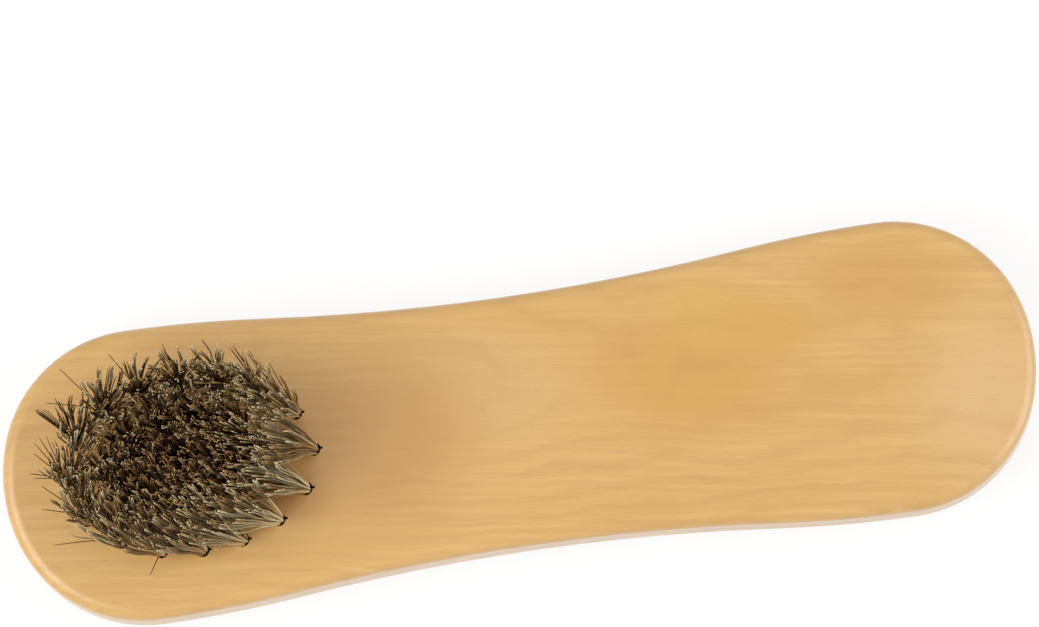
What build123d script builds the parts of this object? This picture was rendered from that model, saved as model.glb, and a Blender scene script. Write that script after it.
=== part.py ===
from build123d import *
import math
import os

# Shoe shine brush: a flat waisted wooden block with one oval field of hair tufts.
# It lies on its flat back. +X runs from the hair end to the hand end, +Z is up
# out of the hair, and the origin is the centre of the flat back.
# All lengths are in millimetres.

os.makedirs("parts", exist_ok=True)

# Wooden block
block_length = 160.0
head_width = 45.2
waist_depth = 3.2
block_thickness = 10.0
widest_from_end = 21.5
edge_radius = 2.0
# How much of each side from the waist to the widest place is hollow, the rest being full
waist_share = 0.63
# Degrees that the flatter arc at the very end turns to each side
end_turn = 18.0

# Oval field of drilled holes, measured between hole centres
field_from_end = 10.2
field_length = 38.0
field_width = 26.2
hole_diameter = 2.2
hole_depth = 7.0
outer_ring_count = 16
second_ring_count = 10
middle_row_count = 3
second_ring_length_share = 0.66
second_ring_width_share = 0.5
middle_row_length_share = 0.33

# Flat metal strip that holds a tuft down, set along the block
anchor_length = 2.8
anchor_thickness = 0.3
anchor_height = 1.6

# Hair
hair_height = 17.0
trim_unevenness = 2.2
root_grip = 0.4
fold_thickness = 1.1
strand_root_radius = 0.17
strand_tip_radius = 0.18
strand_sides = 3
# Strands of a tuft stand in rings: how many, and how far out as a share of the bundle's radius
strand_ring_counts = (1, 5, 9)
strand_ring_shares = (0.0, 0.41, 0.82)
# How far the hair is brushed over at full height, along and across, at both ends of the field
sway_at_tip_end = -1.5
sway_at_waist_end = 6.7
sway_across_at_tip_end = 1.4
sway_across_at_waist_end = 0.2
# How much of its sideways place a tuft leans along the block, and back to the middle
skew_share = 0.16
pinch_share = 0.08
# How much wider a tuft is at its tips, where its strands bend, and how late they bend
flare_share = 1.5
bend_level_share = 0.5
bend_power = 1.15
# Turn that keeps the trimmed heights from repeating
golden_share = 0.618034

# Degrees all the way round
full_turn = 360

# Fit of hair and anchors in the wood
clearance = 0.05
overrun = 1.0

# Worked out from the sizes above
half_length = block_length / 2
half_width = head_width / 2
widest_x = half_length - widest_from_end
hole_radius = hole_diameter / 2
hole_floor = block_thickness - hole_depth
field_left = field_from_end - half_length
field_centre_x = field_left + field_length / 2
bundle_radius = hole_radius - clearance
bundle_floor = hole_floor + clearance
anchor_floor = bundle_floor + fold_thickness

# Two tangent arcs make each quarter's end: a shoulder from the widest place, and a
# flatter one over the very end. Their radii solve the two sizes that they span.
turn_cos = math.cos(math.radians(end_turn))
turn_sin = math.sin(math.radians(end_turn))
end_radius = (half_width * turn_cos - widest_from_end * (1 - turn_sin)) / (turn_cos + turn_sin - 1)
waist_point = (0, half_width - waist_depth)
flank_join = (widest_x * waist_share, half_width - waist_depth * (1 - waist_share))
widest_point = (widest_x, half_width)
end_join = (half_length - end_radius * (1 - turn_cos), end_radius * turn_sin)


# Hole centres evenly spaced along an oval about the middle of the field
def oval_places(length, width, count):
    with BuildLine() as oval:
        EllipticalCenterArc((field_centre_x, 0), length / 2, width / 2, arc_size=full_turn)
    return [oval.edge() @ (index / count) for index in range(count)]


# Hole centres evenly spaced along a row through the middle of the field
def row_places(length, count):
    with BuildLine() as row:
        Line((field_centre_x - length / 2, 0), (field_centre_x + length / 2, 0))
    return [row.edge() @ (index / (count - 1)) for index in range(count)]


tuft_places = (
    oval_places(field_length, field_width, outer_ring_count)
    + oval_places(
        field_length * second_ring_length_share,
        field_width * second_ring_width_share,
        second_ring_count,
    )
    + row_places(field_length * middle_row_length_share, middle_row_count)
)

# Handle: the waisted block with rounded edges, blind holes and the anchors' grooves
with BuildPart() as handle:
    with BuildSketch():
        with BuildLine():
            waist = TangentArc(waist_point, flank_join, tangent=(1, 0))
            TangentArc(flank_join, widest_point, tangent=waist % 1)
            shoulder = TangentArc(widest_point, end_join, tangent=(1, 0))
            TangentArc(end_join, (half_length, 0), tangent=shoulder % 1)
            mirror(about=Plane.XZ)
            mirror(about=Plane.YZ)
        make_face()
    extrude(amount=block_thickness)
    fillet(handle.faces().filter_by(Axis.Z).edges(), radius=edge_radius)
    with BuildSketch(Plane.XY.offset(hole_floor)):
        with Locations(*tuft_places):
            Circle(hole_radius)
    extrude(amount=hole_depth + overrun, mode=Mode.SUBTRACT)
    with BuildSketch(Plane.XY.offset(anchor_floor - clearance)):
        with Locations(*tuft_places):
            Rectangle(anchor_length + 2 * clearance, anchor_thickness + 2 * clearance)
    extrude(amount=block_thickness - anchor_floor + overrun, mode=Mode.SUBTRACT)
handle.part.label = "handle"
export_step(handle.part, "parts/handle.step")

# Anchors: one flat strip across each hole, over the fold of the hair
with BuildPart() as anchors:
    with BuildSketch(Plane.XY.offset(anchor_floor)):
        with Locations(*tuft_places):
            Rectangle(anchor_length, anchor_thickness)
    extrude(amount=anchor_height)
anchors.part.label = "anchors"
export_step(anchors.part, "parts/anchors.step")


# Where a strand stands once it has risen to a share of the hair's height. Hair near the
# waist is brushed over furthest, and each tuft opens out from its own centre.
def strand_place(root_x, root_y, tuft_place, height_share):
    field_share = (tuft_place.X - field_left) / field_length
    sway = sway_at_tip_end + (sway_at_waist_end - sway_at_tip_end) * field_share
    sway_x = -sway + tuft_place.Y * skew_share
    sway_y = sway_across_at_tip_end + (sway_across_at_waist_end - sway_across_at_tip_end) * field_share
    sway_y -= tuft_place.Y * pinch_share
    bend = height_share**bend_power
    x = root_x + bend * ((root_x - tuft_place.X) * flare_share + sway_x)
    y = root_y + bend * ((root_y - tuft_place.Y) * flare_share + sway_y)
    return x, y


# One tapering strand from inside the bundle to its trimmed tip, bent once on the way
def make_strand(root_x, root_y, tuft_place, top_share, turn):
    with BuildPart() as strand:
        for height_share in (0, bend_level_share, top_share):
            x, y = strand_place(root_x, root_y, tuft_place, height_share)
            z = block_thickness + hair_height * height_share
            if height_share == 0:
                z = block_thickness - root_grip
            radius = strand_root_radius + (strand_tip_radius - strand_root_radius) * height_share
            with BuildSketch(Plane((x, y, z))):
                RegularPolygon(radius, strand_sides, rotation=turn)
        loft(ruled=True)
    return strand.part


# All strands of one tuft, with uneven tips
def make_strands(tuft_place, tuft_number):
    strands = []
    for count, ring_share in zip(strand_ring_counts, strand_ring_shares):
        for index in range(count):
            turn = full_turn * (index / count + tuft_number * golden_share)
            root_x = tuft_place.X + bundle_radius * ring_share * math.cos(math.radians(turn))
            root_y = tuft_place.Y + bundle_radius * ring_share * math.sin(math.radians(turn))
            trim_share = (len(strands) + tuft_number) * golden_share % 1
            top_share = 1 - trim_share * trim_unevenness / hair_height
            strands.append(make_strand(root_x, root_y, tuft_place, top_share, turn))
    return strands


# Tufts: each a bundle with a slot for its anchor, and its strands grown out of the top
for tuft_number, tuft_place in enumerate(tuft_places, start=1):
    strands = make_strands(tuft_place, tuft_number)
    with BuildPart() as tuft:
        with BuildSketch(Plane.XY.offset(bundle_floor)):
            with Locations(tuft_place):
                Circle(bundle_radius)
        extrude(amount=block_thickness - bundle_floor)
        with BuildSketch(Plane.XY.offset(anchor_floor - clearance)):
            with Locations(tuft_place):
                Rectangle(hole_diameter, anchor_thickness + 2 * clearance)
        extrude(amount=anchor_height + 2 * clearance, mode=Mode.SUBTRACT)
        add(strands, clean=False)
    tuft.part.label = f"tuft_{tuft_number:02d}"
    export_step(tuft.part, f"parts/{tuft.part.label}.step")
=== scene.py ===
import math
import bpy
from mathutils import Matrix, Vector


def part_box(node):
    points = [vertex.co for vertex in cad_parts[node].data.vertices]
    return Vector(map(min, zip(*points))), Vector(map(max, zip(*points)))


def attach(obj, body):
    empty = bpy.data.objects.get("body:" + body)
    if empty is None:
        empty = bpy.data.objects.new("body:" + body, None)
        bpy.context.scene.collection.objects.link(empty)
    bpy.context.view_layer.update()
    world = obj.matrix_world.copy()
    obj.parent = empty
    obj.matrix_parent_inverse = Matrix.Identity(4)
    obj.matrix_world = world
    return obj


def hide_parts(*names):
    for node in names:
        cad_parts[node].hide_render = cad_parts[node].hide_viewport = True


# Shoe shine brush: a waisted beech block under clear lacquer, with an oval field of horse hair.
# All in metres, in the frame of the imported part: +X runs from the hair end to the hand end,
# +Z out of the hair, and the block lies on its flat back at z = 0.

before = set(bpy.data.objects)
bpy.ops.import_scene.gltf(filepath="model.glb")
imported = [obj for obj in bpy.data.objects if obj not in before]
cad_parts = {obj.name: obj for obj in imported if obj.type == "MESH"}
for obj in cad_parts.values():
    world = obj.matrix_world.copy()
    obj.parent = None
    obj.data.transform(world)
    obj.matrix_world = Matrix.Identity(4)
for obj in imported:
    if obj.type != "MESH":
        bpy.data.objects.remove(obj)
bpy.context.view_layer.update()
mm = 0.001
brush = "root"  # the one body, which every piece rides on
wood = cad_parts["handle"]
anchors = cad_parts["anchors"]
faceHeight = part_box("handle")[1].z
tuftNodes = sorted(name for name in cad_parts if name.startswith("tuft_"))
print("frame loaded:", len(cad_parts), "nodes,", len(tuftNodes), "of them tufts")


# An sRGB hex colour as the linear one that a node holds
def toLinear(hexColour):
    shares = [int(hexColour[place:place + 2], 16) / 255 for place in (1, 3, 5)]
    return [s / 12.92 if s <= 0.04045 else ((s + 0.055) / 1.055) ** 2.4 for s in shares] + [1]


# Adds a node: inputs by name or number, each a value, a socket or another node
def addNode(tree, kind, inputs=None, **settings):
    node = tree.nodes.new(kind)
    for name, value in settings.items():
        setattr(node, name, value)
    for key, value in (inputs or {}).items():
        if isinstance(value, bpy.types.Node):
            value = value.outputs[0]
        if isinstance(value, bpy.types.NodeSocket):
            tree.links.new(value, node.inputs[key])
        else:
            node.inputs[key].default_value = value
    return node


# The node tree of a new material or world, emptied
def emptyTree(owner):
    owner.use_nodes = True
    owner.node_tree.nodes.clear()
    return owner.node_tree


# Noise in blotches of these sizes in mm along, across and through a grain that is turned about Z
def sizedNoise(tree, place, sizes, detail, turn=0):
    steps = addNode(tree, "ShaderNodeMapping", {
        "Vector": place, "Rotation": (0, 0, turn), "Scale": [size * mm for size in sizes],
    }, vector_type="TEXTURE")
    return addNode(tree, "ShaderNodeTexNoise", {"Vector": steps, "Scale": 1, "Detail": detail})


def fillRamp(ramp, stops):
    while len(ramp.elements) < len(stops):
        ramp.elements.new(0.5)
    for element, (place, hexColour) in zip(ramp.elements, stops):
        element.position = place
        element.color = toLinear(hexColour)


noiseSpan = {"From Min": 0.3, "From Max": 0.7}  # nearly all that a noise gives lies in here
noiseMiddle = (0.5, 0.5, 0.5)  # taken off, it lets a noise or a random vector go both ways

# Camera: nearly straight down, from a little below the picture's middle, with a long lens

viewSettings = {
    "towardsCamera": (0.0155, -0.147, 0.989),
    "pictureUp": (0.1386, 0.990, 0),
    "aim": (2.28 * mm, 17.7 * mm, 0),
    "distance": 1.3,
    "widthSeen": 161 * mm,  # at the distance of the aim
    "sensorWidth": 36,  # in mm, as cameras have it
    "nearestSeen": 0.01,
    "furthestSeen": 20,
}

backwards = Vector(viewSettings["towardsCamera"]).normalized()
upwards = Vector(viewSettings["pictureUp"])
upwards = (upwards - backwards * upwards.dot(backwards)).normalized()
sideways = upwards.cross(backwards)
cameraData = bpy.data.cameras.new("camera")
cameraData.sensor_width = viewSettings["sensorWidth"]
cameraData.lens = viewSettings["sensorWidth"] * viewSettings["distance"] / viewSettings["widthSeen"]
cameraData.clip_start = viewSettings["nearestSeen"]
cameraData.clip_end = viewSettings["furthestSeen"]
camera = bpy.data.objects.new("camera", cameraData)
camera.matrix_world = Matrix.Translation(
    Vector(viewSettings["aim"]) + backwards * viewSettings["distance"]
) @ Matrix((sideways, upwards, backwards)).transposed().to_4x4()
bpy.context.scene.collection.objects.link(camera)
bpy.context.scene.camera = camera
bpy.context.scene.view_settings.view_transform = "Standard"
print("camera placed")

# Studio: a matt white floor, an even white room and two large soft lamps, the stronger one high
# beyond the hair end and the other lower beyond the hand end

studioSettings = {
    "floorSide": 8,
    "floorDrop": 0.1 * mm,
    "floorColour": "#CCCCC8",
    "floorGlow": 0.80,  # of the floor's white that doesn't depend on the lamps
    "floorShade": 0.24,  # how much of the lamps' light is added to that, and is lost in shadow
    "roomLight": 0.48,
    # Turn from +X and height in degrees, distance, side, and the share of full white it gives
    "lamps": {
        "handLamp": {"turn": -8, "height": 26, "distance": 1.2, "side": 1.10, "share": 0.21},
        "hairLamp": {"turn": 192, "height": 42, "distance": 1.1, "side": 0.90, "share": 0.40},
    },
}


# 1 where the camera, a gloss or a clear piece looks at the studio, and 0 for the light it gives
def seenDirectly(tree):
    rays = addNode(tree, "ShaderNodeLightPath").outputs
    seen = rays["Is Camera Ray"]
    for kind in ("Is Glossy Ray", "Is Transmission Ray"):
        seen = addNode(tree, "ShaderNodeMath", {0: seen, 1: rays[kind]}, operation="MAXIMUM")
    return seen


floorMesh = bpy.data.meshes.new("floor")
floorReach = studioSettings["floorSide"] / 2
floorMesh.from_pydata([
    (x * floorReach, y * floorReach, -studioSettings["floorDrop"])
    for x, y in ((-1, -1), (1, -1), (1, 1), (-1, 1))
], [], [(0, 1, 2, 3)])
floor = bpy.data.objects.new("floor", floorMesh)
bpy.context.scene.collection.objects.link(floor)

# Matt white paper: what the camera or a gloss sees of it is nearly all its own even white
paper = bpy.data.materials.new("mattPaper")
tree = emptyTree(paper)
plain = addNode(tree, "ShaderNodeBsdfDiffuse", {
    "Color": toLinear(studioSettings["floorColour"]),
})
dimmed = addNode(tree, "ShaderNodeBsdfDiffuse", {
    "Color": [studioSettings["floorShade"]] * 3 + [1],
})
glow = addNode(tree, "ShaderNodeEmission", {"Strength": studioSettings["floorGlow"]})
glowing = addNode(tree, "ShaderNodeAddShader", {0: dimmed, 1: glow})
mixed = addNode(tree, "ShaderNodeMixShader", {0: seenDirectly(tree), 1: plain, 2: glowing})
addNode(tree, "ShaderNodeOutputMaterial", {"Surface": mixed})
floorMesh.materials.append(paper)

world = bpy.data.worlds.new("room")
bpy.context.scene.world = world
tree = emptyTree(world)
light = addNode(tree, "ShaderNodeMapRange", {
    "Value": seenDirectly(tree), "To Min": studioSettings["roomLight"], "To Max": 1,
})
white = addNode(tree, "ShaderNodeBackground", {"Color": toLinear("#FFFFFF"), "Strength": light})
addNode(tree, "ShaderNodeOutputWorld", {"Surface": white})

for name, lampSettings in studioSettings["lamps"].items():
    turn, height = math.radians(lampSettings["turn"]), math.radians(lampSettings["height"])
    fromBrush = Vector((
        math.cos(turn) * math.cos(height), math.sin(turn) * math.cos(height), math.sin(height),
    ))
    distance = lampSettings["distance"]
    lampData = bpy.data.lights.new(name, "AREA")
    lampData.size = lampSettings["side"]
    # The power at which white paper flat under the lamp shows that share of full white
    lampData.energy = lampSettings["share"] * (math.pi * distance) ** 2 / math.sin(height)
    lamp = bpy.data.objects.new(name, lampData)
    lamp.location = fromBrush * distance
    lamp.rotation_euler = fromBrush.to_track_quat("Z", "Y").to_euler()
    bpy.context.scene.collection.objects.link(lamp)
print("studio ready")

# Block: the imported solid, under satin lacquer

blockSettings = {
    "paleBeech": "#E9BA71",
    "darkBeech": "#DBAB65",
    "ochre": "#DFAC5F",
    "fleck": "#C0905A",
    "ringLine": "#BE8A4C",
    # Larger patches of golden and of pale wood, with two of painted shadow beside the hair and one
    # of painted reflection at the hand end: colour, middle and reach in mm
    "patches": [
        ("#D9A24C", (27, 3, 10), (24, 14, 40)), ("#E1B159", (31, 12, 10), (12, 8, 40)),
        ("#DCA953", (40, 8.6, 10), (14, 6, 40)), ("#D9A556", (58, 13, 10), (16, 10, 40)),
        # The patch at the hand end's near corner, second on the next line, is a painted reflection
        # of the room in the lacquer
        ("#E0B373", (-5, 6, 10), (20, 13, 40)), ("#E7BC80", (73, -7, 10), (18, 20, 40)),
        # Painted shadow: these two darker patches beside the hair stand in for its shade on the
        # wood
        ("#D09C58", (-20, 0, 10), (19, 20, 40)), ("#CC9450", (-36, -7, 10), (9, 6, 40)),
    ],
    # How much of its own colour each pattern gives where it is strongest
    "ochreStrength": 0.6,
    "patchStrength": 0.85,
    "ringStrength": 0.17,
    "fleckStrength": 0.22,
    # Values between which each pattern comes in
    "ochreSpan": {"From Min": 0.4, "From Max": 0.75},
    "patchSpan": {"From Max": 0.8},
    "ringSpan": {"From Min": 0.45},
    "ringFadeSpan": {"From Min": 0.35, "From Max": 0.6},
    "fleckSpan": {"From Min": 0.62, "From Max": 0.76},
    # Sizes of the patterns along, across and through the grain, in mm
    "waveSize": (26, 13, 26),
    "streakSize": (28, 0.8, 1.6),
    "cloudSize": (24, 12, 12),
    "fleckSize": (2.2, 0.25, 2.2),
    "waveHeight": 4 * mm,
    "ringWidth": 1.5 * mm,
    "ringWander": 2.2,
    "ringWanderScale": 0.8,
    # Where the middle of the tree was, and how its grain is tilted and turned in degrees
    "pithDepth": 24 * mm,
    "pithSide": 9 * mm,
    "grainTilt": 2.6,
    "grainTurn": -8,
    # The film over it: its streaks are smoother and duller in turn, and stand out very slightly
    "film": {"IOR": 1.5, "Coat Weight": 0.65, "Coat Roughness": 0.22, "Coat IOR": 1.5},
    "roughness": {"To Min": 0.32, "To Max": 0.42},
    "reliefDepth": 0.006 * mm,
    "reliefStrength": 0.4,
}

# Flat-sawn beech, sanded and sprayed with clear satin lacquer: warm straw colour, faint growth
# rings in long arches, short dark ray flecks, and a smooth film that mirrors the room softly;
# patches of painted shadow beside the hair and of painted reflection at the hand end are laid into
# its colour
beech = bpy.data.materials.new("beechSatinLacquered")
tree = emptyTree(beech)
place = addNode(tree, "ShaderNodeTexCoord").outputs["Object"]
grainTurn = math.radians(blockSettings["grainTurn"])

# A slow wave carries all that follows the grain
slowWave = sizedNoise(tree, place, blockSettings["waveSize"], detail=2, turn=grainTurn)
waveShift = addNode(tree, "ShaderNodeVectorMath", {
    0: slowWave.outputs["Color"], 1: noiseMiddle,
}, operation="SUBTRACT")
waveShift = addNode(tree, "ShaderNodeVectorMath", {
    0: waveShift, "Scale": blockSettings["waveHeight"],
}, operation="SCALE")
wavyPlace = addNode(tree, "ShaderNodeVectorMath", {0: place, 1: waveShift}, operation="ADD")
fromPith = addNode(tree, "ShaderNodeMapping", {
    "Vector": wavyPlace,
    "Location": (0, blockSettings["pithSide"], -blockSettings["pithDepth"]),
    "Rotation": (0, math.radians(blockSettings["grainTilt"]), grainTurn),
}, vector_type="TEXTURE")
ringTurn = 2 * math.pi / 20  # the rings of a wave texture repeat after this share of its unit
rings = addNode(tree, "ShaderNodeTexWave", {
    "Vector": fromPith, "Scale": ringTurn / blockSettings["ringWidth"],
    "Distortion": blockSettings["ringWander"], "Detail": 2,
    "Detail Scale": blockSettings["ringWanderScale"],
}, wave_type="RINGS", rings_direction="X", wave_profile="SIN")
streaks = sizedNoise(tree, wavyPlace, blockSettings["streakSize"], detail=2, turn=grainTurn)
clouds = sizedNoise(tree, place, blockSettings["cloudSize"], detail=3, turn=grainTurn)
flecks = sizedNoise(tree, wavyPlace, blockSettings["fleckSize"], detail=1, turn=grainTurn)

# Colours laid over the pale wood, each with how much of it shows
darkShare = addNode(tree, "ShaderNodeMapRange", {"Value": streaks.outputs["Fac"], **noiseSpan})
ochreShare = addNode(tree, "ShaderNodeMapRange", {
    "Value": clouds.outputs["Fac"], **blockSettings["ochreSpan"],
    "To Max": blockSettings["ochreStrength"],
})
layers = [(darkShare, blockSettings["darkBeech"]), (ochreShare, blockSettings["ochre"])]
# Each patch fades out from its middle; two of them are painted shadow and one a painted reflection
for hexColour, middle, reach in blockSettings["patches"]:
    fromMiddle = addNode(tree, "ShaderNodeMapping", {
        "Vector": wavyPlace, "Location": [size * mm for size in middle],
        "Rotation": (0, 0, grainTurn), "Scale": [size * mm for size in reach],
    }, vector_type="TEXTURE")
    patch = addNode(tree, "ShaderNodeTexGradient", {
        "Vector": fromMiddle,
    }, gradient_type="SPHERICAL")
    patchShare = addNode(tree, "ShaderNodeMapRange", {
        "Value": patch.outputs["Fac"], **blockSettings["patchSpan"],
        "To Max": blockSettings["patchStrength"],
    }, interpolation_type="SMOOTHSTEP")
    layers.append((patchShare, hexColour))

# Late wood: soft dark lines that fade in and out along the block
lineShare = addNode(tree, "ShaderNodeMapRange", {
    "Value": rings.outputs["Fac"], **blockSettings["ringSpan"],
    "To Max": blockSettings["ringStrength"],
})
lineFade = addNode(tree, "ShaderNodeMapRange", {
    "Value": slowWave.outputs["Fac"], **blockSettings["ringFadeSpan"],
})
lineShare = addNode(tree, "ShaderNodeMath", {0: lineShare, 1: lineFade}, operation="MULTIPLY")
fleckShare = addNode(tree, "ShaderNodeMapRange", {
    "Value": flecks.outputs["Fac"], **blockSettings["fleckSpan"],
    "To Max": blockSettings["fleckStrength"],
})
layers += [(lineShare, blockSettings["ringLine"]), (fleckShare, blockSettings["fleck"])]

colour = toLinear(blockSettings["paleBeech"])
for share, hexColour in layers:
    colour = addNode(tree, "ShaderNodeMix", {
        0: share, 6: colour, 7: toLinear(hexColour),
    }, data_type="RGBA").outputs[2]
gloss = addNode(tree, "ShaderNodeMapRange", {
    "Value": streaks.outputs["Fac"], **noiseSpan, **blockSettings["roughness"],
})
relief = addNode(tree, "ShaderNodeBump", {
    "Height": streaks.outputs["Fac"], "Distance": blockSettings["reliefDepth"],
    "Strength": blockSettings["reliefStrength"],
})
lacquer = addNode(tree, "ShaderNodeBsdfPrincipled", {
    "Base Color": colour, "Roughness": gloss, "Normal": relief, **blockSettings["film"],
})
addNode(tree, "ShaderNodeOutputMaterial", {"Surface": lacquer})
wood.data.materials.clear()
wood.data.materials.append(beech)
print("block finished")

# Anchors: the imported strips, cut from flat wire

anchorSettings = {
    "paleSteel": "#B4B4B2",
    "darkSteel": "#8E8F90",
    "shine": {"Metallic": 1, "Roughness": 0.35},
    "markSize": (2, 0.05, 0.05),  # in mm, along the strip first
    "markDepth": 0.004 * mm,
}

# Drawn low-carbon steel: grey, with fine die marks along the strip
steel = bpy.data.materials.new("steelFlatWireDrawn")
tree = emptyTree(steel)
place = addNode(tree, "ShaderNodeTexCoord").outputs["Object"]
dieMarks = sizedNoise(tree, place, anchorSettings["markSize"], detail=2)
steelTone = addNode(tree, "ShaderNodeMix", {
    0: dieMarks.outputs["Fac"],
    6: toLinear(anchorSettings["paleSteel"]), 7: toLinear(anchorSettings["darkSteel"]),
}, data_type="RGBA")
relief = addNode(tree, "ShaderNodeBump", {
    "Height": dieMarks.outputs["Fac"], "Distance": anchorSettings["markDepth"],
})
metal = addNode(tree, "ShaderNodeBsdfPrincipled", {
    "Base Color": steelTone.outputs[2], "Normal": relief, **anchorSettings["shine"],
})
addNode(tree, "ShaderNodeOutputMaterial", {"Surface": metal})
anchors.data.materials.clear()
anchors.data.materials.append(steel)
print("anchors finished")

# Hair: every tuft is a bundle of hairs in locks, pushed down into its hole on both sides of
# its anchor

hairSettings = {
    # What the tree that grows a tuft is given
    "tuft": {
        "Hair Count": 120,
        "Lock Count": 30,
        "Hair Points": 10,
        "Hair Sides": 3,
        "Hole Floor": 3.2 * mm,
        "Anchor Top": 6.2 * mm,
        "Anchor Gap": 0.30 * mm,  # the least between the middles of a hair and of the anchor
        "Bundle Radius": 0.98 * mm,
        "Lock Reach": 0.84,  # share of that radius over which the middles of locks stand
        "Hair Height": 17 * mm,
        "Unevenness": 0.20,
        "Fan": 4.9,  # how many times its radius a tuft gains on the way to its tips
        "Bend Power": 1.05,
        "Root Spread": 0.24 * mm,
        "Tip Spread": 0.80 * mm,
        "Stray Share": 0.05,
        "Stray Reach": 3.5 * mm,
        "Wave Height": 2.2 * mm,
        "Wave Length": 8 * mm,
        "Hair Radius": 0.125 * mm,
        "Tip Taper": 0.15,
        # How far a hair's tone is its lock's and how far its own
        "Lock Tone": 0.72,
        "Hair Tone": 0.28,
    },
    "colours": [
        (0.0, "#684A2C"), (0.34, "#9E7444"), (0.54, "#C69C60"), (0.74, "#E4C78C"),
        (1.0, "#F8E8BA"),
    ],
    # Painted shade along each hair, from the hole's floor to the tip: full brightness near the
    # root, painted shade over the upper half, where the hair mass would shade itself, and full
    # again at the cut tip, which catches the light
    "paintedShades": [
        (0.28, "#FFFFFF"), (0.55, "#F0F0F0"), (0.74, "#C6C6C6"), (0.90, "#C6C6C6"),
        (1.0, "#FFFFFF"),
    ],
    "mottleSize": (0.8, 0.8, 0.8),  # in mm
    "mottleBrightness": {"To Min": 0.8, "To Max": 1},
    "shine": {"Roughness": 0.52, "IOR": 1.55},
    # How far tips lean along, to the hair end, and across, to the far side: at both ends of the
    # field, less for each metre that the root stands towards the far side, and outwards for
    # each metre in the two corners of that side
    "lean": {
        "alongAtTip": -2.4 * mm,
        "alongAtWaist": 6.6 * mm,
        "alongByPlace": 0.20,
        "alongAtCorner": 0.16,
        "acrossAtTip": 1.3 * mm,
        "acrossAtWaist": 0.4 * mm,
        "acrossByPlace": 0.165,
        "acrossAtCorner": 0.30,
    },
    # What is added to a tuft's tone in the field's middle, at its rim and at its waist end: painted
    # shade in the middle, painted light at the rim and the waist end
    "tone": {"atMiddle": -0.15, "atRim": 0.20, "atWaist": 0.10},
    "rootDepth": 2 * mm,  # this far below the block's face a tuft is only as wide as its hole
}

# Horse tail hair, washed, cut and mixed: near-black to blond, smooth with a satin shine, with
# painted shade over the upper half of each hair
horseHair = bpy.data.materials.new("horseHairCut")
tree = emptyTree(horseHair)
hairTone = addNode(tree, "ShaderNodeAttribute", attribute_name="hairTone")
ramp = addNode(tree, "ShaderNodeValToRGB", {"Fac": hairTone.outputs["Fac"]})
fillRamp(ramp.color_ramp, hairSettings["colours"])
place = addNode(tree, "ShaderNodeTexCoord").outputs["Object"]
mottle = sizedNoise(tree, place, hairSettings["mottleSize"], detail=1)
brightness = addNode(tree, "ShaderNodeMapRange", {
    "Value": mottle.outputs["Fac"], **noiseSpan, **hairSettings["mottleBrightness"],
})
# Painted shade: each hair is darker over its upper half, where the hair mass would shade itself
hairShare = addNode(tree, "ShaderNodeAttribute", attribute_name="hairShare")
shade = addNode(tree, "ShaderNodeValToRGB", {"Fac": hairShare.outputs["Fac"]})
fillRamp(shade.color_ramp, hairSettings["paintedShades"])
brightness = addNode(tree, "ShaderNodeMath", {0: brightness, 1: shade}, operation="MULTIPLY")
mottledAndShaded = addNode(tree, "ShaderNodeMix", {
    0: brightness, 6: toLinear("#000000"), 7: ramp,
}, data_type="RGBA")
skin = addNode(tree, "ShaderNodeBsdfPrincipled", {
    "Base Color": mottledAndShaded.outputs[2], **hairSettings["shine"],
})
addNode(tree, "ShaderNodeOutputMaterial", {"Surface": skin})


# A geometry tree with these inputs, its input sockets, and what a modifier calls each of them
def startTree(name, inputKinds):
    tree = bpy.data.node_groups.new(name, "GeometryNodeTree")
    tree.is_modifier = True
    socketOf = {}
    for inputName, kind in inputKinds.items():
        socket = tree.interface.new_socket(inputName, in_out="INPUT", socket_type=kind)
        socketOf[inputName] = socket.identifier
    tree.interface.new_socket("Geometry", in_out="OUTPUT", socket_type="NodeSocketGeometry")
    return tree, addNode(tree, "NodeGroupInput").outputs, socketOf


# Three random numbers from 0 to 1 for each hair or each lock, as a vector and one by one
def drawLuck(tree, number, seed, seedShift):
    seed = addNode(tree, "ShaderNodeMath", {0: seed, 1: seedShift}, operation="ADD")
    luck = addNode(tree, "FunctionNodeRandomValue", {
        "ID": number, "Seed": seed,
    }, data_type="FLOAT_VECTOR")
    return luck, addNode(tree, "ShaderNodeSeparateXYZ", {0: luck}).outputs


# Ends a tree: its lines become hairs, which lose the whole tip taper where taperShare is 1
def thickenHairs(tree, given, hairs, taperShare):
    thinning = addNode(tree, "ShaderNodeMath", {
        0: taperShare, 1: given["Tip Taper"],
    }, operation="MULTIPLY")
    thickness = addNode(tree, "ShaderNodeMath", {0: 1, 1: thinning}, operation="SUBTRACT")
    outline = addNode(tree, "GeometryNodeCurvePrimitiveCircle", {
        "Resolution": given["Hair Sides"], "Radius": given["Hair Radius"],
    })
    hairs = addNode(tree, "GeometryNodeCurveToMesh", {
        "Curve": hairs, "Profile Curve": outline, "Scale": thickness, "Fill Caps": True,
    })
    hairs = addNode(tree, "GeometryNodeSetShadeSmooth", {"Geometry": hairs})
    hairs = addNode(tree, "GeometryNodeRealizeInstances", {"Geometry": hairs})
    hairs = addNode(tree, "GeometryNodeSetMaterial", {
        "Geometry": hairs, "Material": given["Hair Material"],
    })
    addNode(tree, "NodeGroupOutput", {"Geometry": hairs})


tuftTree, given, tuftSocketOf = startTree("hairTuft", {
    **{
        name: "NodeSocketInt" if isinstance(value, int) else "NodeSocketFloat"
        for name, value in hairSettings["tuft"].items()
    },
    "Root": "NodeSocketVector", "Sway": "NodeSocketVector", "Face": "NodeSocketFloat",
    "Painted Light Lift": "NodeSocketFloat", "Seed": "NodeSocketInt", "Hair Material": "NodeSocketMaterial",
})
tree = tuftTree

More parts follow.
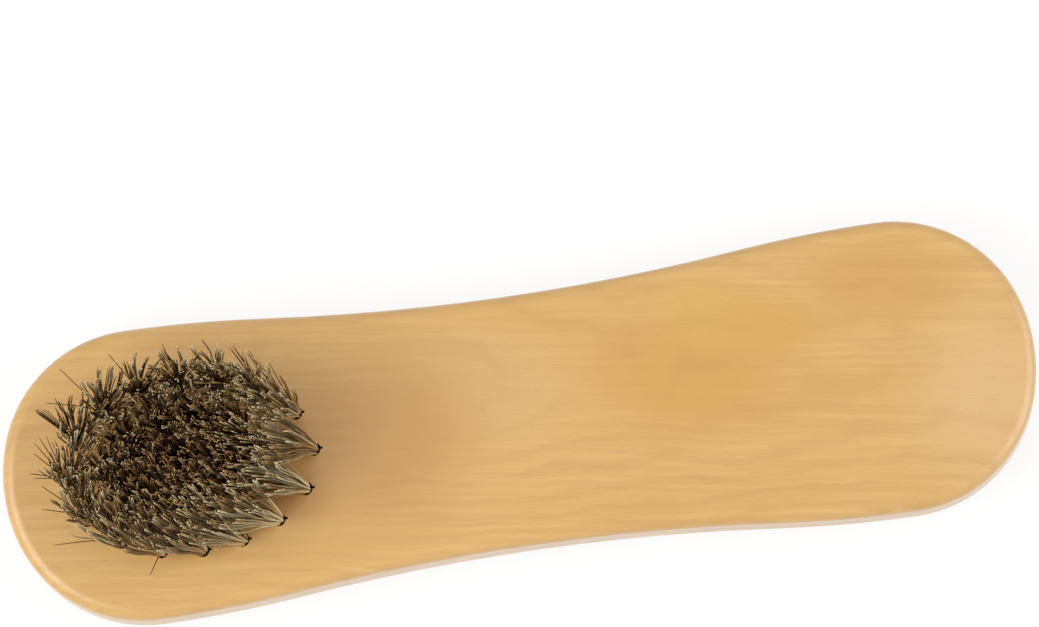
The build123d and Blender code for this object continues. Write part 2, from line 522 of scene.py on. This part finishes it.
line = addNode(tree, "GeometryNodeCurvePrimitiveLine")
line = addNode(tree, "GeometryNodeResampleCurve", {"Curve": line, "Count": given["Hair Points"]})
hairs = addNode(tree, "GeometryNodeDuplicateElements", {
    "Geometry": line, "Amount": given["Hair Count"],
}, domain="SPLINE")
hairNumber = hairs.outputs["Duplicate Index"]
alongHair = addNode(tree, "GeometryNodeSplineParameter").outputs["Factor"]
lockNumber = addNode(tree, "ShaderNodeMath", {
    0: hairNumber, 1: given["Lock Count"],
}, operation="MODULO")
seedStep = 100  # more than there are tufts, so that no tuft draws what another has drawn
hairLuck, hairLuckParts = drawLuck(tree, hairNumber, given["Seed"], 0)
lockLuckParts = drawLuck(tree, lockNumber, given["Seed"], seedStep)[1]
hairMoodParts = drawLuck(tree, hairNumber, given["Seed"], 2 * seedStep)[1]
lockMoodParts = drawLuck(tree, lockNumber, given["Seed"], 2 * seedStep)[1]

# Height of a point of the hair, and how far the hair has bent by there
shortBy = addNode(tree, "ShaderNodeMath", {
    0: hairLuckParts[2], 1: lockLuckParts[2],
}, operation="MULTIPLY")
shortBy = addNode(tree, "ShaderNodeMath", {
    0: shortBy, 1: given["Unevenness"],
}, operation="MULTIPLY")
topShare = addNode(tree, "ShaderNodeMath", {0: 1, 1: shortBy}, operation="SUBTRACT")
top = addNode(tree, "ShaderNodeMath", {
    0: topShare, 1: given["Hair Height"], 2: given["Face"],
}, operation="MULTIPLY_ADD")
height = addNode(tree, "ShaderNodeMapRange", {
    "Value": alongHair, "To Min": given["Hole Floor"], "To Max": top,
})
aboveFace = addNode(tree, "ShaderNodeMath", {0: height, 1: given["Face"]}, operation="SUBTRACT")
rise = addNode(tree, "ShaderNodeMath", {
    0: aboveFace, 1: given["Hair Height"],
}, operation="DIVIDE", use_clamp=True)
bend = addNode(tree, "ShaderNodeMath", {0: rise, 1: given["Bend Power"]}, operation="POWER")

# Locks stand in a sunflower pattern over the hole and open out like a fan
goldenTurn = math.pi * (3 - math.sqrt(5))
lockAngle = addNode(tree, "ShaderNodeMath", {
    0: lockNumber, 1: goldenTurn, 2: given["Seed"],
}, operation="MULTIPLY_ADD")
lockShare = addNode(tree, "ShaderNodeMath", {0: lockNumber, 1: 0.5}, operation="ADD")
lockShare = addNode(tree, "ShaderNodeMath", {
    0: lockShare, 1: given["Lock Count"],
}, operation="DIVIDE")
lockOut = addNode(tree, "ShaderNodeMath", {0: lockShare}, operation="SQRT")
for size in ("Bundle Radius", "Lock Reach"):
    lockOut = addNode(tree, "ShaderNodeMath", {0: lockOut, 1: given[size]}, operation="MULTIPLY")
lockWay = addNode(tree, "ShaderNodeCombineXYZ", {
    "X": addNode(tree, "ShaderNodeMath", {0: lockAngle}, operation="COSINE"),
    "Y": addNode(tree, "ShaderNodeMath", {0: lockAngle}, operation="SINE"),
})
lockPlace = addNode(tree, "ShaderNodeVectorMath", {
    0: lockWay, "Scale": lockOut,
}, operation="SCALE")
fanned = addNode(tree, "ShaderNodeMath", {
    0: bend, 1: given["Fan"], 2: 1,
}, operation="MULTIPLY_ADD")
lockPlace = addNode(tree, "ShaderNodeVectorMath", {
    0: lockPlace, "Scale": fanned,
}, operation="SCALE")

# Each hair stands a little off its lock's middle, and a few strays stand well out
flat = (1, 1, 0)
hairWay = addNode(tree, "ShaderNodeVectorMath", {
    0: hairLuck, 1: noiseMiddle,
}, operation="SUBTRACT")
hairWay = addNode(tree, "ShaderNodeVectorMath", {0: hairWay, 1: flat}, operation="MULTIPLY")
isStray = addNode(tree, "ShaderNodeMath", {
    0: hairMoodParts[2], 1: given["Stray Share"],
}, operation="LESS_THAN")
strayOut = addNode(tree, "ShaderNodeMath", {
    0: isStray, 1: given["Stray Reach"],
}, operation="MULTIPLY")
strayOut = addNode(tree, "ShaderNodeMath", {0: strayOut, 1: bend}, operation="MULTIPLY")
spread = addNode(tree, "ShaderNodeMapRange", {
    "Value": bend, "To Min": given["Root Spread"], "To Max": given["Tip Spread"],
})
hairOut = addNode(tree, "ShaderNodeMath", {0: spread, 1: strayOut}, operation="ADD")
hairPlace = addNode(tree, "ShaderNodeVectorMath", {
    0: hairWay, "Scale": hairOut,
}, operation="SCALE")

# A slow wave that the hairs of a lock share, far along in the noise from that of any other lock
lockStep, tuftStep = 7.3, 3.7
wavePlace = addNode(tree, "ShaderNodeCombineXYZ", {
    "X": addNode(tree, "ShaderNodeMath", {0: lockNumber, 1: lockStep}, operation="MULTIPLY"),
    "Y": addNode(tree, "ShaderNodeMath", {0: given["Seed"], 1: tuftStep}, operation="MULTIPLY"),
    "Z": addNode(tree, "ShaderNodeMath", {
        0: aboveFace, 1: given["Wave Length"],
    }, operation="DIVIDE"),
})
waveNoise = addNode(tree, "ShaderNodeTexNoise", {"Vector": wavePlace, "Scale": 1, "Detail": 0})
wave = addNode(tree, "ShaderNodeVectorMath", {
    0: waveNoise.outputs["Color"], 1: noiseMiddle,
}, operation="SUBTRACT")
wave = addNode(tree, "ShaderNodeVectorMath", {0: wave, 1: flat}, operation="MULTIPLY")
waveOut = addNode(tree, "ShaderNodeMath", {0: given["Wave Height"], 1: rise}, operation="MULTIPLY")
wave = addNode(tree, "ShaderNodeVectorMath", {0: wave, "Scale": waveOut}, operation="SCALE")

# Below the anchor's top the hairs keep to its two sides
offCentre = addNode(tree, "ShaderNodeVectorMath", {0: lockPlace, 1: hairPlace}, operation="ADD")
offAcross = addNode(tree, "ShaderNodeSeparateXYZ", {0: offCentre}).outputs[1]
side = addNode(tree, "ShaderNodeMath", {0: offAcross}, operation="SIGN")
cleared = addNode(tree, "ShaderNodeMath", {0: offAcross}, operation="ABSOLUTE")
cleared = addNode(tree, "ShaderNodeMath", {
    0: cleared, 1: given["Anchor Gap"],
}, operation="MAXIMUM")
cleared = addNode(tree, "ShaderNodeMath", {0: cleared, 1: side}, operation="MULTIPLY")
push = addNode(tree, "ShaderNodeMath", {0: cleared, 1: offAcross}, operation="SUBTRACT")
isLow = addNode(tree, "ShaderNodeMath", {
    0: height, 1: given["Anchor Top"],
}, operation="LESS_THAN")
push = addNode(tree, "ShaderNodeMath", {0: push, 1: isLow}, operation="MULTIPLY")
lift = addNode(tree, "ShaderNodeCombineXYZ", {"Y": push, "Z": height})

swayed = addNode(tree, "ShaderNodeVectorMath", {
    0: given["Sway"], "Scale": bend,
}, operation="SCALE")
position = given["Root"]
for shift in (offCentre, swayed, wave, lift):
    position = addNode(tree, "ShaderNodeVectorMath", {0: position, 1: shift}, operation="ADD")
hairs = addNode(tree, "GeometryNodeSetPosition", {"Geometry": hairs, "Position": position})

# Tone from dark to blond, with the tuft's painted light and shade added, and how far along its hair
# each point is, for the material
tone = addNode(tree, "ShaderNodeMath", {
    0: lockMoodParts[0], 1: given["Lock Tone"],
}, operation="MULTIPLY")
tone = addNode(tree, "ShaderNodeMath", {
    0: hairMoodParts[0], 1: given["Hair Tone"], 2: tone,
}, operation="MULTIPLY_ADD")
tone = addNode(tree, "ShaderNodeMath", {0: tone, 1: given["Painted Light Lift"]}, operation="ADD")
for name, value in (("hairTone", tone), ("hairShare", alongHair)):
    hairs = addNode(tree, "GeometryNodeStoreNamedAttribute", {
        "Geometry": hairs, "Name": name, "Value": value,
    }, data_type="FLOAT", domain="POINT")
twist = addNode(tree, "ShaderNodeMath", {
    0: hairMoodParts[1], 1: math.tau,
}, operation="MULTIPLY")
hairs = addNode(tree, "GeometryNodeSetCurveTilt", {"Curve": hairs, "Tilt": twist})
thickenHairs(tree, given, hairs, rise)


# The middle of a tuft's bundle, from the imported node's points below the face
def rootOf(node):
    lowest = faceHeight - hairSettings["rootDepth"]
    low = [v.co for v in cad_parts[node].data.vertices if v.co.z < lowest]
    middle = [(min(p[axis] for p in low) + max(p[axis] for p in low)) / 2 for axis in (0, 1)]
    return Vector((*middle, 0))


# The roots, and the field that they fill
roots = {node: rootOf(node) for node in tuftNodes}
fieldStart = min(root.x for root in roots.values())
halfLength = (max(root.x for root in roots.values()) - fieldStart) / 2
halfWidth = max(root.y for root in roots.values())


# How far along and across the field a root is, each from -1 to 1
def fieldPlace(root):
    return (root.x - fieldStart) / halfLength - 1, root.y / halfWidth


# How far the tips of a tuft lean over from its root
def leanOf(root):
    lean = hairSettings["lean"]
    toWaist = fieldPlace(root)[0]
    share = (toWaist + 1) / 2
    farSide = max(root.y, 0)
    along = lean["alongAtTip"] + (lean["alongAtWaist"] - lean["alongAtTip"]) * share
    along -= lean["alongByPlace"] * root.y
    along -= lean["alongAtCorner"] * farSide * toWaist * abs(toWaist)
    across = lean["acrossAtTip"] + (lean["acrossAtWaist"] - lean["acrossAtTip"]) * share
    across -= lean["acrossByPlace"] * root.y
    across += lean["acrossAtCorner"] * farSide * toWaist ** 2
    return Vector((-along, across, 0))


# Painted light and shade on whole tufts: those in the field's middle are painted darker, where the
# hair mass shades itself, and those at the rim and the waist end paler, where light falls on their
# sides
def paintedLightLiftOf(root):
    tone = hairSettings["tone"]
    along, across = fieldPlace(root)
    lift = tone["atMiddle"] + (tone["atRim"] - tone["atMiddle"]) * (along ** 2 + across ** 2)
    return lift + tone["atWaist"] * max(along, 0) ** 2


# Grows a piece of hair through its tree, and leaves it a plain mesh that rides on the brush
def growPiece(name, startMesh, tree, socketOf, values, replaced=None):
    piece = bpy.data.objects.new(name, startMesh)
    bpy.context.scene.collection.objects.link(piece)
    grower = piece.modifiers.new(tree.name, "NODES")
    grower.node_group = tree
    for key, value in values.items():
        grower[socketOf[key]] = value
    graph = bpy.context.evaluated_depsgraph_get()
    mesh = bpy.data.meshes.new_from_object(
        piece.evaluated_get(graph), preserve_all_data_layers=True, depsgraph=graph
    )
    piece.modifiers.remove(grower)
    piece.data = mesh
    mesh.name = name
    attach(piece, brush)
    if replaced:
        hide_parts(replaced)
    return len(mesh.polygons)


hairFaces = 0
for seed, (node, root) in enumerate(roots.items(), start=1):
    name = node.replace("tuft", "hair")
    hairFaces += growPiece(name, bpy.data.meshes.new(name), tuftTree, tuftSocketOf, {
        **hairSettings["tuft"], "Root": root, "Sway": leanOf(root), "Face": faceHeight,
        "Painted Light Lift": paintedLightLiftOf(root), "Seed": seed, "Hair Material": horseHair,
    }, replaced=node)
print("hair grown:", hairFaces, "faces")

# Stray hairs: single long ones that stand out of the field's end and sides

straySettings = {
    "points": 8,
    "tipTaper": 0.3,
    "startDepth": 1 * mm,  # below the block's face
    "firstRise": 0.55,  # share of the height that a stray climbs before it bends out
    # The tuft it grows from, its tip in mm, and its tone from dark to blond
    "strays": [
        ("tuft_08", (-72.2, 9.6, 26.3), 0.05), ("tuft_08", (-71.8, 10.0, 26.4), 0.85),
        ("tuft_08", (-71.6, 9.1, 26.6), 0.10), ("tuft_08", (-72.1, 9.3, 26.0), 0.15),
        ("tuft_08", (-71.0, 9.6, 26.0), 0.05), ("tuft_08", (-71.4, 9.3, 25.4), 0.10),
        ("tuft_08", (-70.4, 9.4, 26.2), 0.15), ("tuft_08", (-72.0, 9.8, 25.6), 0.05),
        ("tuft_07", (-70.6, 10.7, 25.1), 0.45), ("tuft_07", (-67.8, 15.6, 24.9), 0.35),
        ("tuft_09", (-73.0, 4.7, 26.2), 0.40), ("tuft_09", (-72.1, 5.3, 26.2), 0.30),
        ("tuft_09", (-71.1, 5.5, 26.3), 0.55), ("tuft_09", (-73.3, 3.1, 26.5), 0.40),
        ("tuft_09", (-74.2, 0.1, 26.4), 0.20), ("tuft_09", (-73.8, -0.7, 26.6), 0.45),
        ("tuft_10", (-72.8, -1.9, 25.5), 0.35), ("tuft_10", (-73.2, -5.5, 26.1), 0.45),
        ("tuft_11", (-72.3, -10.9, 23.9), 0.50), ("tuft_12", (-59.0, -16.0, 12.5), 0.15),
        ("tuft_06", (-60.0, 16.5, 26.4), 0.20), ("tuft_05", (-51.7, 16.9, 26.7), 0.25),
    ],
}

strayTree, given, straySocketOf = startTree("strayHair", {
    "Geometry": "NodeSocketGeometry", "Hair Sides": "NodeSocketInt",
    "Hair Radius": "NodeSocketFloat", "Tip Taper": "NodeSocketFloat",
    "Hair Material": "NodeSocketMaterial",
})
line = addNode(strayTree, "GeometryNodeMeshToCurve", {"Mesh": given["Geometry"]})
alongHair = addNode(strayTree, "GeometryNodeSplineParameter").outputs["Factor"]
thickenHairs(strayTree, given, line, alongHair)

# Each stray is a bent line from low in its tuft's hole to its tip
points, edges, tones, shares = [], [], [], []
for node, tip, tone in straySettings["strays"]:
    root = roots[node] + Vector((0, 0, faceHeight - straySettings["startDepth"]))
    tip = Vector(tip) * mm
    knee = root + Vector((0, 0, (tip.z - root.z) * straySettings["firstRise"]))
    for step in range(straySettings["points"]):
        share = step / (straySettings["points"] - 1)
        if step:
            edges.append((len(points) - 1, len(points)))
        points.append(root * (1 - share) ** 2 + knee * 2 * share * (1 - share) + tip * share ** 2)
        tones.append(tone)
        shares.append(share)
strayLines = bpy.data.meshes.new("strayLines")
strayLines.from_pydata(points, edges, [])
for name, values in (("hairTone", tones), ("hairShare", shares)):
    strayLines.attributes.new(name, "FLOAT", "POINT").data.foreach_set("value", values)
strayFaces = growPiece("strayHairs", strayLines, strayTree, straySocketOf, {
    "Hair Sides": hairSettings["tuft"]["Hair Sides"],
    "Hair Radius": hairSettings["tuft"]["Hair Radius"],
    "Tip Taper": straySettings["tipTaper"],
    "Hair Material": horseHair,
})
print("strays grown:", strayFaces, "faces")
